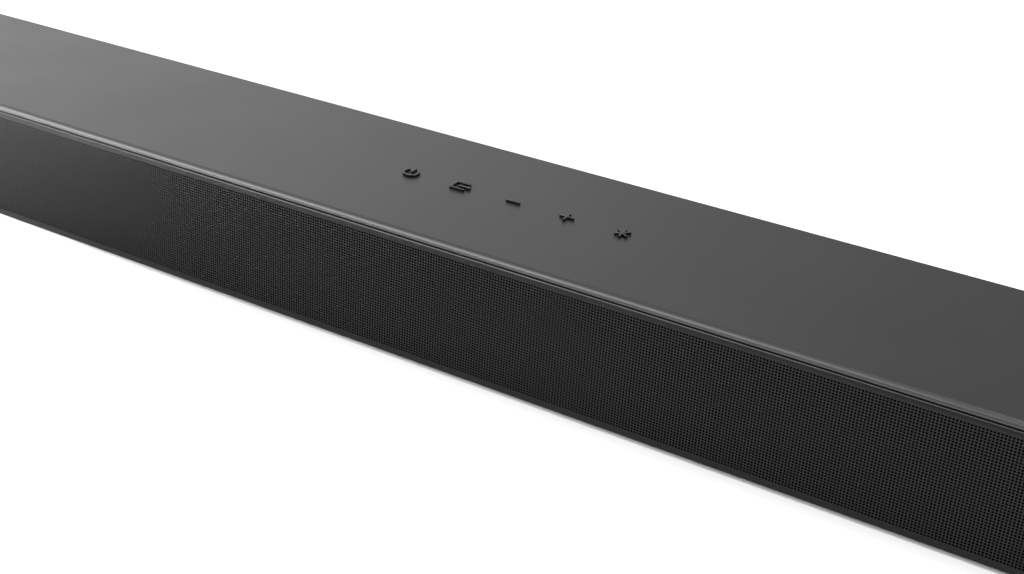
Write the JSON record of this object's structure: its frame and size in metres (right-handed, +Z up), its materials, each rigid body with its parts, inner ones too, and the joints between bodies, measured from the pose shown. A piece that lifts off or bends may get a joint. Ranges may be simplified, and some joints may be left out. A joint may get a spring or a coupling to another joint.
{
  "type": "soundbar",
  "caption": "Slim black television soundbar with a perforated front, raised symbol keys on top and sockets in a recess at the back.",
  "frame": {"origin": "centre of the footprint, on the surface the feet stand on", "axes": "+X along the bar to the listener's right, -Y towards the listener (the grille's side), +Z up"},
  "size_m": [0.85, 0.099, 0.0641],
  "materials": {
    "cover": "satin moulded ABS",
    "case": "fine textured ABS",
    "inner_plastic": "matte moulded ABS",
    "grille": "satin black powder coat on steel sheet",
    "cloth": "black open-weave acoustic cloth",
    "keys": "satin moulded ABS",
    "rubber": "matte",
    "paper": "pressed paper cone",
    "zinc_steel": "zinc plated",
    "plated_steel": "tin plated shell",
    "ferrite": "sintered ferrite",
    "board": "solder mask on glass laminate",
    "resin": "moulded resin",
    "wire": "soft sheath"
  },
  "bodies": {
    "housing": {"top_cover": "cover", "bottom_case": "case", "jack_panel": "inner_plastic", "front_grille": "grille", "grille_cloth": "cloth", "front_baffle": "inner_plastic", "key_board": "board", "main_board": "board", "power_board": "board", "indicator_board": "board", "wireless_module": "plated_steel", "transformer": "ferrite", "bulk_capacitor": "resin", "power_inlet": "resin", "optical_socket": "resin", "video_socket": "plated_steel", "data_socket": "plated_steel", "speaker_lead_left": "wire", "speaker_lead_centre": "wire", "speaker_lead_right": "wire", "key_cable": "wire", "power_lead": "wire", "power_switch": "resin", "source_switch": "resin", "volume_down_switch": "resin", "volume_up_switch": "resin", "pairing_switch": "resin", "driver_left_basket": "grille", "driver_left_magnet": "ferrite", "driver_centre_basket": "grille", "driver_centre_magnet": "ferrite", "driver_right_basket": "grille", "driver_right_magnet": "ferrite", "foot_front_left": "rubber", "case_screw_front_left": "zinc_steel", "foot_front_right": "rubber", "case_screw_front_right": "zinc_steel", "foot_rear_left": "rubber", "case_screw_rear_left": "zinc_steel", "foot_rear_right": "rubber", "case_screw_rear_right": "zinc_steel"},
    "power_key": {"power_button": "keys", "power_plunger": "rubber"},
    "source_key": {"source_button": "keys", "source_plunger": "rubber"},
    "volume_down_key": {"volume_down_button": "keys", "volume_down_plunger": "rubber"},
    "volume_up_key": {"volume_up_button": "keys", "volume_up_plunger": "rubber"},
    "pairing_key": {"pairing_button": "keys", "pairing_plunger": "rubber"},
    "left_diaphragm": {"driver_left_cone": "paper", "driver_left_dust_cap": "paper", "driver_left_surround": "rubber"},
    "centre_diaphragm": {"driver_centre_cone": "paper", "driver_centre_dust_cap": "paper", "driver_centre_surround": "rubber"},
    "right_diaphragm": {"driver_right_cone": "paper", "driver_right_dust_cap": "paper", "driver_right_surround": "rubber"}
  },
  "joints": [
    {"name": "power_press", "type": "slide", "parent": "housing", "child": "power_key", "axis": [0, 0, -1], "range_m": [0, 0.0005], "stiffness_N_per_m": 3000},
    {"name": "source_press", "type": "slide", "parent": "housing", "child": "source_key", "axis": [0, 0, -1], "range_m": [0, 0.0005], "stiffness_N_per_m": 3000},
    {"name": "volume_down_press", "type": "slide", "parent": "housing", "child": "volume_down_key", "axis": [0, 0, -1], "range_m": [0, 0.0005], "stiffness_N_per_m": 3000},
    {"name": "volume_up_press", "type": "slide", "parent": "housing", "child": "volume_up_key", "axis": [0, 0, -1], "range_m": [0, 0.0005], "stiffness_N_per_m": 3000},
    {"name": "pairing_press", "type": "slide", "parent": "housing", "child": "pairing_key", "axis": [0, 0, -1], "range_m": [0, 0.0005], "stiffness_N_per_m": 3000},
    {"name": "left_cone_travel", "type": "slide", "parent": "housing", "child": "left_diaphragm", "axis": [0, -1, 0], "range_m": [-0.002, 0.002], "stiffness_N_per_m": 1500, "deforming": ["driver_left_surround"]},
    {"name": "centre_cone_travel", "type": "slide", "parent": "housing", "child": "centre_diaphragm", "axis": [0, -1, 0], "range_m": [-0.002, 0.002], "stiffness_N_per_m": 1500, "deforming": ["driver_centre_surround"]},
    {"name": "right_cone_travel", "type": "slide", "parent": "housing", "child": "right_diaphragm", "axis": [0, -1, 0], "range_m": [-0.002, 0.002], "stiffness_N_per_m": 1500, "deforming": ["driver_right_surround"]}
  ]
}
